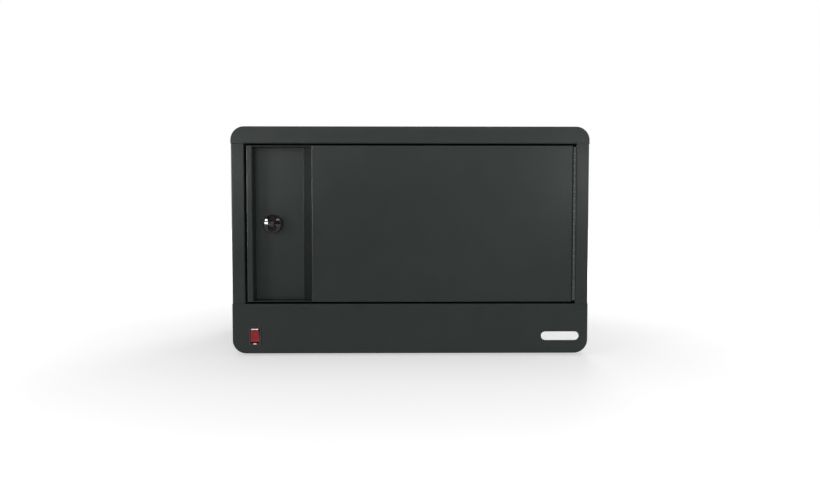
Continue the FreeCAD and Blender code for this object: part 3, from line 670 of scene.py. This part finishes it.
def screw(bm, seat, outward, radius, height, shank_radius, shank_length):
    """Screw with a domed head and a cross recess, whose head starts at its seat."""
    profile = [(0, -shank_length), (shank_radius, -shank_length), (shank_radius, 0), (radius, 0)]
    profile += [(radius * width_share, height * height_share) for width_share, height_share in head_dome]
    rim = turned(bm, profile, seat, outward, head_sides)[-1]
    across = outward.orthogonal().normalized()
    beside = outward.cross(across)
    arm = radius * cross_arm
    half = radius * cross_width / 2
    top = seat + outward * height
    outline = [(half, half), (half, arm), (-half, arm), (-half, half), (-arm, half), (-arm, -half),
               (-half, -half), (-half, -arm), (half, -arm), (half, -half), (arm, -half), (arm, half)]
    bottom = top - outward * min(cross_depth, height * cross_depth_share)
    upper = [bm.verts.new(top + across * u + beside * v) for u, v in outline]
    lower = [bm.verts.new(bottom + across * u + beside * v) for u, v in outline]
    count = len(outline)
    loop = [bm.edges.new((upper[i], upper[(i + 1) % count])) for i in range(count)]
    loop += [bm.edges.get((rim[i], rim[(i + 1) % head_sides])) for i in range(head_sides)]
    bmesh.ops.triangle_fill(bm, use_beauty=True, use_dissolve=False, edges=loop)
    for i in range(count):
        j = (i + 1) % count
        bm.faces.new((upper[i], upper[j], lower[j], lower[i]))
    bm.faces.new(lower)


def screw_piece(node, body, seats, sizes):
    """Piece for a node of screws that face the back, one at each seat."""
    bm = bmesh.new()
    for seat in seats:
        screw(bm, seat, BACK, *sizes)
    add_piece(node + "_fine", mesh_from(bm, node + "_fine"), body, "zinc_plate", stands_for=(node,))


def screws():
    """Screws of the back panel, the inlet and the cam."""
    low, high = node_box("back_panel_screws")
    radius, height = panel_screw[:2]
    seats = [Vector((x, high.y - height, z)) for x in (low.x + radius, high.x - radius)
             for z in (low.z + radius, high.z - radius)]
    screw_piece("back_panel_screws", "cabinet", seats, panel_screw)
    low, high = node_box("inlet_screws")
    radius, height = inlet_screw[:2]
    seats = [Vector((x, high.y - height, (low.z + high.z) / 2)) for x in (low.x + radius, high.x - radius)]
    screw_piece("inlet_screws", "cabinet", seats, inlet_screw)
    low, high = node_box("cam_screw")
    centre = middle("cam_screw")
    screw_piece("cam_screw", "knob", [Vector((centre.x, high.y - cam_screw_head, centre.z))],
                ((high.x - low.x) / 2, cam_screw_head, cam_screw_shank, high.y - low.y - cam_screw_head))


def lock_hardware():
    """Cam, nut and strike."""
    refined("lock_cam", "knob", "zinc_plate", sheet_edge)
    refined("lock_nut", "door", "zinc_plate", sheet_edge)
    refined("latch_strike", "cabinet", "zinc_plate", sheet_edge)


def rocker_front(z):
    """How far the rocker's shallow V stands in front of its pivot at a height."""
    return -(rocker_middle + rocker_rise * (abs(z) / rocker_reach) ** rocker_curve)


def rocker_piece(name, outline, half_widths, turn, pivot, finish, stands_for=(), edge=0.0):
    """Piece of the rocker between its two sides, each as far out as its half width there."""
    bm = bmesh.new()
    sides = [[bm.verts.new(turn @ Vector((side * half, y, z)) + pivot)
              for (y, z), half in zip(outline, half_widths)] for side in (-1, 1)]
    for i in range(len(outline)):
        j = (i + 1) % len(outline)
        bm.faces.new((sides[0][i], sides[0][j], sides[1][j], sides[1][i]))
    bm.faces.new(sides[0])
    bm.faces.new(sides[1])
    add_piece(name, mesh_from(bm, name), "switch_rocker", finish, stands_for=stands_for, edge=edge)


def switch():
    """Bezel and housing of the mains switch, and its red rocker, with a white bar of painted highlight over
    a dark strip of painted shade.
    """
    refined("switch_housing", "cabinet", "black_plastic", plastic_edge)
    joint = next(j for j in frame["joints"] if j["name"] == "rocker_tilt")
    pivot = Vector(joint["pos_m"]) / MM
    turn = Matrix.Rotation(math.radians(sum(joint["range_deg"]) / 2), 3, RIGHT)
    reach = rocker_reach
    facet_z = reach - rocker_facet
    outline = []
    for i in range(-rocker_steps, rocker_steps + 1):
        z = i / rocker_steps * facet_z
        outline.append((rocker_front(z), z))
    end = math.degrees(math.acos(rocker_facet / reach))
    outline += arc(reach, 180 - end, 90, rocker_end_steps)
    outline += [(rocker_back, rocker_back_half), (rocker_back, -rocker_back_half)]
    outline += arc(reach, 270, 180 + end, rocker_end_steps)
    widths = [rocker_low_half - (rocker_low_half - rocker_top_half) * ((z + reach) / (2 * reach)) ** 2
              for _, z in outline]
    rocker_piece("rocker_fine", outline, widths, turn, pivot, "red_lens", stands_for=("rocker",),
                 edge=rocker_edge)
    facet_low = Vector((rocker_front(facet_z), facet_z))
    facet_high = Vector(arc(reach, 180 - end, 90, 1)[0])
    along = (facet_high - facet_low).normalized()
    outward = Vector((-along.y, along.x))
    proud = outward * highlight_proud
    bar_low = facet_low.lerp(facet_high, bar_from)
    # White bar in the badge's white: a painted highlight on the proud top end
    bar = [bar_low + proud, facet_high + proud, facet_high - outward, bar_low - outward]
    rocker_piece("rocker_painted_highlight", bar, [bar_half] * 4, turn, pivot, "badge_white")
    # Dark strip between the white bar and the red: painted shade at the edge of the top end
    shade_strip = [facet_low + proud, bar_low + proud, bar_low - outward, facet_low - outward]
    rocker_piece("rocker_painted_shade", shade_strip, [rocker_top_half + shade_strip_lap] * 4, turn, pivot, "gloss_black")


def bezel_painted_highlight():
    """White spot with round ends on the lower bar of the bezel: a painted highlight where its lower edge
    would catch light.
    """
    low = node_box("switch_housing")[0]
    centre = middle("switch_housing")
    bm = bmesh.new()
    # The spot is a painted highlight in the badge's white
    spot = [Vector((centre.x + u, low.y - highlight_proud, low.z + spot_highlight_rise + v))
            for u, v in stadium_outline(spot_highlight_straight, spot_highlight_radius, spot_highlight_steps)]
    prism(bm, spot, BACK * spot_highlight_depth)
    add_piece("bezel_painted_highlight", mesh_from(bm, "bezel_painted_highlight"), "cabinet", "badge_white")


def stadium(bm, centre, straight, levels):
    """Form with round ends, built up from levels of radius and depth."""
    rings = []
    for radius, y in levels:
        rings.append([bm.verts.new((centre.x + u, y, centre.z + v))
                      for u, v in stadium_outline(straight, radius, badge_end_steps)])
    for ring, following in zip(rings, rings[1:]):
        for i in range(len(ring)):
            j = (i + 1) % len(ring)
            bm.faces.new((ring[i], ring[j], following[j], following[i]))
    bm.faces.new(rings[0])
    bm.faces.new(rings[-1])


def badge():
    """Bare domed plate with round ends, in a thin dark rim."""
    low, high = node_box("badge_plate")
    centre = middle("badge_plate")
    radius = (high.z - low.z) / 2
    straight = (high.x - low.x) / 2 - radius
    thickness = high.y - low.y
    bm = bmesh.new()
    levels = [(radius, high.y), (radius, high.y - badge_edge)]
    for i in range(1, badge_dome_steps + 1):
        turn = i / badge_dome_steps * math.pi / 2
        levels.append((radius - radius * (1 - math.cos(turn)) * badge_dome,
                       high.y - badge_edge - (thickness - badge_edge) * math.sin(turn)))
    stadium(bm, centre, straight, levels)
    add_piece("badge_plate_fine", mesh_from(bm, "badge_plate_fine"), "cabinet", "badge_white",
              stands_for=("badge_plate",))
    bm = bmesh.new()
    outer = radius + badge_rim
    shoulder = high.y - badge_edge
    crest = shoulder - rim_bead
    levels = [(outer, high.y), (outer, shoulder), (outer - rim_bead, crest), (radius - rim_lap, crest),
              (radius - 2 * rim_lap, high.y - rim_lap)]
    stadium(bm, centre, straight, levels)
    add_piece("badge_rim", mesh_from(bm, "badge_rim"), "cabinet", "gloss_black")


def feet():
    """Tapered rubber feet with a screw recess."""
    low, high = node_box("rubber_feet")
    height = high.z - low.z
    sole = foot_radius - foot_taper - foot_round
    profile = [(0, foot_recess_depth), (foot_recess_radius, foot_recess_depth),
               (foot_recess_radius, foot_recess_rise), (foot_recess_radius + foot_recess_edge, 0), (sole, 0)]
    profile += [(sole + u, foot_round + v)
                for u, v in arc(foot_round, foot_round_from, 0, pad_round_steps)]
    profile += [(foot_radius, height - foot_flange), (foot_radius, height), (0, height)]
    bm = bmesh.new()
    for x in (low.x + foot_radius, high.x - foot_radius):
        for y in (low.y + foot_radius, high.y - foot_radius):
            turned(bm, profile, Vector((x, y, low.z)), UP, foot_sides)
    add_piece("rubber_feet_fine", mesh_from(bm, "rubber_feet_fine"), "cabinet", "rubber",
              stands_for=("rubber_feet",))


def bumpers():
    """Rubber buttons that the door closes against."""
    low, high = node_box("door_bumpers")
    radius = (high.x - low.x) / 2
    height = high.y - low.y
    profile = [(0, 0), (radius, 0), (radius, height - bumper_round)]
    profile += [(radius - bumper_round + u, height - bumper_round + v)
                for u, v in arc(bumper_round, bumper_round_from, 90, pad_round_steps)]
    profile += [(0, height)]
    bm = bmesh.new()
    for z in (low.z + radius, high.z - radius):
        turned(bm, profile, Vector((middle("door_bumpers").x, high.y, z)), -BACK, bumper_sides)
    add_piece("door_bumpers_fine", mesh_from(bm, "door_bumpers_fine"), "cabinet", "rubber",
              stands_for=("door_bumpers",))


painted_case()
bay_fittings()
electrical_fittings()
hinge()
lock_collar()
lock_knob()
key_plug()
screws()
lock_hardware()
switch()
bezel_painted_highlight()
badge()
feet()
bumpers()


def eased(nodes, links, value, ends, results):
    """Number that eases from one result to the other as a value goes between two ends."""
    ramp = nodes.new("ShaderNodeMapRange")
    ramp.interpolation_type = "SMOOTHSTEP"
    for socket, number in zip(("From Min", "From Max", "To Min", "To Max"), (*ends, *results)):
        ramp.inputs[socket].default_value = number
    links.new(value, ramp.inputs["Value"])
    return ramp.outputs["Result"]


def from_front(nodes, links, vector, ends):
    """Dimmer for reflections: low where a place or a direction is in front of the case, and else 1."""
    parts = nodes.new("ShaderNodeSeparateXYZ")
    links.new(vector, parts.inputs[0])
    return eased(nodes, links, parts.outputs["Y"], ends, (studio_front, 1.0))


def joined(nodes, links, operation, first, second):
    """Two values put together by an operation."""
    math_node = nodes.new("ShaderNodeMath")
    math_node.operation = operation
    links.new(first, math_node.inputs[0])
    links.new(second, math_node.inputs[1])
    return math_node.outputs[0]


def seen_directly(nodes, links, dimmer=None):
    """One for camera rays, the dimmer's value for glossy and transmission rays, and zero for the light
    on the object."""
    path = nodes.new("ShaderNodeLightPath")
    mirrored = joined(nodes, links, "MAXIMUM", path.outputs["Is Glossy Ray"],
                      path.outputs["Is Transmission Ray"])
    if dimmer:
        mirrored = joined(nodes, links, "MULTIPLY", mirrored, dimmer)
    return joined(nodes, links, "MAXIMUM", path.outputs["Is Camera Ray"], mirrored)


def plain_floor():
    """Pale floor that takes the case's shadow and fades to white away from it."""
    mesh = bpy.data.meshes.new("floor")
    corners = ((-1, -1), (1, -1), (1, 1), (-1, 1))
    mesh.from_pydata([(x * floor_reach, y * floor_reach, 0) for x, y in corners], [], [(0, 1, 2, 3)])
    material = bpy.data.materials.new("pale_floor")
    material.use_nodes = True
    nodes = material.node_tree.nodes
    links = material.node_tree.links
    shader = nodes["Principled BSDF"]
    shader.inputs["Base Color"].default_value = floor_colour
    shader.inputs["Roughness"].default_value = floor_roughness
    shader.inputs["Specular IOR Level"].default_value = floor_specular
    place = nodes.new("ShaderNodeTexCoord")
    distance = nodes.new("ShaderNodeVectorMath")
    distance.operation = "LENGTH"
    links.new(place.outputs["Object"], distance.inputs[0])
    fade = eased(nodes, links, distance.outputs["Value"], (fade_start, fade_end), (floor_glow, 1.0))
    dimmer = from_front(nodes, links, place.outputs["Object"], (floor_dim_from, floor_dim_to))
    strength = joined(nodes, links, "MULTIPLY", fade, seen_directly(nodes, links, dimmer))
    glow = nodes.new("ShaderNodeEmission")
    glow.inputs["Color"].default_value = (1, 1, 1, 1)
    links.new(strength, glow.inputs["Strength"])
    both = nodes.new("ShaderNodeAddShader")
    links.new(shader.outputs[0], both.inputs[0])
    links.new(glow.outputs[0], both.inputs[1])
    links.new(both.outputs[0], nodes["Material Output"].inputs["Surface"])
    mesh.materials.append(material)
    floor = bpy.data.objects.new("floor", mesh)
    scene.collection.objects.link(floor)


def studio_world():
    """White for the camera, and a weak soft light. Reflections see a white backdrop and a dimmer studio
    in front of the case."""
    world = bpy.data.worlds.new("studio")
    scene.world = world
    world.use_nodes = True
    # Sampling by importance would ignore that the backdrop depends on the kind of ray
    world.cycles.sampling_method = "NONE"
    nodes = world.node_tree.nodes
    links = world.node_tree.links
    soft = nodes["Background"]
    soft.inputs["Color"].default_value = (1, 1, 1, 1)
    soft.inputs["Strength"].default_value = soft_level
    white = nodes.new("ShaderNodeBackground")
    white.inputs["Color"].default_value = (1, 1, 1, 1)
    direction = nodes.new("ShaderNodeTexCoord").outputs["Generated"]
    dimmer = from_front(nodes, links, direction, (world_dim_from, world_dim_to))
    seen = nodes.new("ShaderNodeLightPath").outputs["Is Camera Ray"]
    links.new(joined(nodes, links, "MAXIMUM", dimmer, seen), white.inputs["Strength"])
    mix = nodes.new("ShaderNodeMixShader")
    links.new(seen_directly(nodes, links), mix.inputs["Fac"])
    links.new(soft.outputs[0], mix.inputs[1])
    links.new(white.outputs[0], mix.inputs[2])
    links.new(mix.outputs[0], nodes["World Output"].inputs["Surface"])


def softbox(name, place, aim, size, watts, light=True, gloss=True):
    """Area lamp at a place, turned to its aim. It adds plain light, highlights, or both."""
    lamp = bpy.data.lights.new(name, "AREA")
    lamp.shape = "RECTANGLE"
    lamp.size, lamp.size_y = size
    lamp.energy = watts
    holder = bpy.data.objects.new(name, lamp)
    holder.location = place
    holder.rotation_euler = (Vector(aim) - Vector(place)).to_track_quat("-Z", "Y").to_euler()
    holder.visible_diffuse = light
    holder.visible_glossy = gloss
    scene.collection.objects.link(holder)


def plain_light():
    """Lamps that light the case from in front, from above and from behind."""
    softbox("front", (0.42, -2.36, 0.34), (0, 0, 0.27), (0.7, 0.5), 30, gloss=False)
    softbox("upper_left", (-1.5, -1.5, 1.3), (0, 0, 0.25), (0.4, 0.4), 3, gloss=False)
    softbox("overhead", (0, 0.2, 2.4), (0, 0, 0.2), (1.6, 1.2), 9)
    softbox("rear", (0.7, 2.0, 1.3), (0, 0, 0.2), (0.9, 0.9), 15, gloss=False)


def highlights():
    """Lamps seen in the sheen alone: on the bends, the knob, the recess, the stiles and the upper rail."""
    softbox("far_highlight", (-1.55, -1.5, 0.37), (0, 0, 0.3), (0.4, 0.16), 17, light=False)
    softbox("left_highlight", (-0.63, -0.55, 0.42), (-0.27, -0.2, 0.3), (0.11, 0.06), 0.85, light=False)
    softbox("recess_highlight", (-0.5, -1.2, 0.43), (-0.3, -0.2, 0.38), (0.2, 0.05), 0.47, light=False)
    softbox("right_highlight", (0.62, -1.0, 0.41), (0.3, -0.2, 0.4), (0.2, 0.08), 0.9, light=False)
    softbox("brow", (0, -1.2, 0.7), (0, -0.2, 0.4), (1.2, 0.1), 2.4, light=False)


def camera():
    """Camera at the photograph's place, a little above the case and tipped down at it."""
    aim = Vector((-aim_to_left, front, (case_low.z + cover_high.z) / 2 + aim_rise)) * MM
    place = aim + Vector((-camera_to_left, -camera_from_face, camera_above_aim)) * MM
    data = bpy.data.cameras.new("camera")
    data.lens = lens_mm
    data.sensor_width = sensor_mm
    holder = bpy.data.objects.new("camera", data)
    holder.location = place
    holder.rotation_euler = (aim - place).to_track_quat("-Z", "Y").to_euler()
    scene.collection.objects.link(holder)
    scene.camera = holder


plain_floor()
studio_world()
plain_light()
highlights()
camera()
scene.view_settings.view_transform = "Standard"
